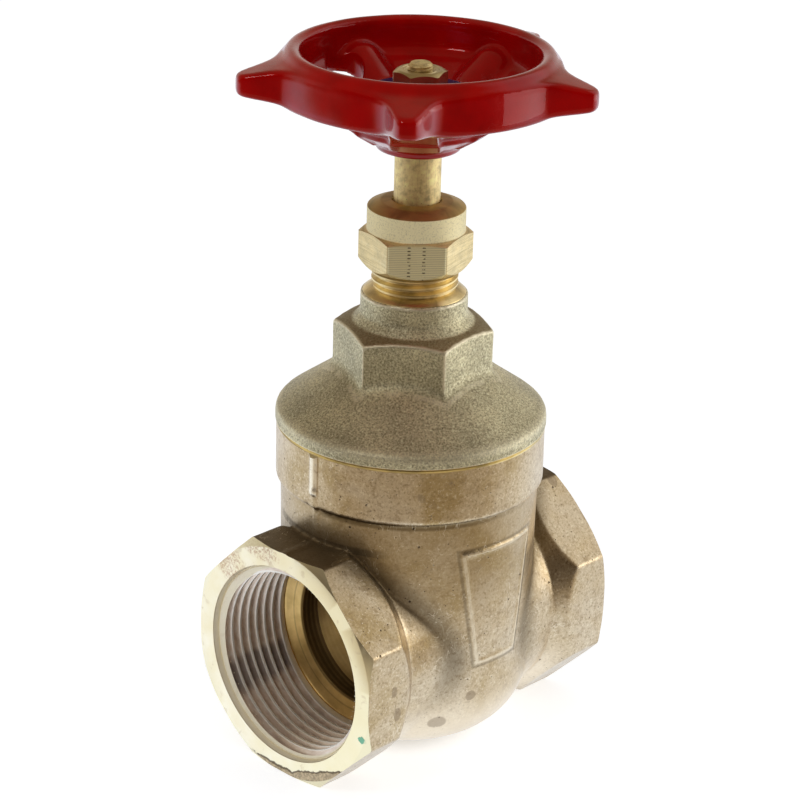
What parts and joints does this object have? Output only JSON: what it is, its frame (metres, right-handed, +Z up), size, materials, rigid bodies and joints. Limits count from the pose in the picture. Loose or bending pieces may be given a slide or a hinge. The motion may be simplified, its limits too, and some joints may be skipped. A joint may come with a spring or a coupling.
{
  "type": "brass gate valve",
  "caption": "Brass gate valve with octagonal threaded ends, screwed bonnet, packing gland, non-rising stem, sliding wedge and a red lobed handwheel.",
  "frame": {"origin": "where the pipe axis meets the stem axis, in the middle of the waterway", "axes": "+X along the pipe axis towards the outlet, +Z up the stem axis towards the handwheel, -Y the side with the pressure-rating panel"},
  "size_m": [0.0731, 0.0707, 0.149],
  "materials": {
    "forged_brass": "satin",
    "blasted_brass": "matte",
    "machined_brass": "polished",
    "stem_brass": "satin",
    "packing": "matte",
    "wheel_red": "gloss",
    "disc_blue": "gloss"
  },
  "bodies": {
    "valve": {"body": "forged_brass", "bonnet": "blasted_brass", "packing_rings": "packing", "gland_follower": "machined_brass", "gland_nut": "machined_brass"},
    "stem_and_wheel": {"stem": "stem_brass", "handwheel": "wheel_red", "identification_disc": "disc_blue", "wheel_nut": "machined_brass"},
    "gate": {"wedge": "machined_brass"}
  },
  "joints": [
    {"name": "handwheel_turn", "type": "hinge", "parent": "valve", "child": "stem_and_wheel", "pos_m": [0, 0, 0.1], "axis": [0, 0, 1], "range_deg": [-3960, 0]},
    {"name": "wedge_travel", "type": "slide", "parent": "valve", "child": "gate", "axis": [0, 0, 1], "range_m": [-0.033, 0]}
  ],
  "couplings": [
    {"joint": "wedge_travel", "follows": "handwheel_turn", "m_per_rad": 0.00047746}
  ]
}
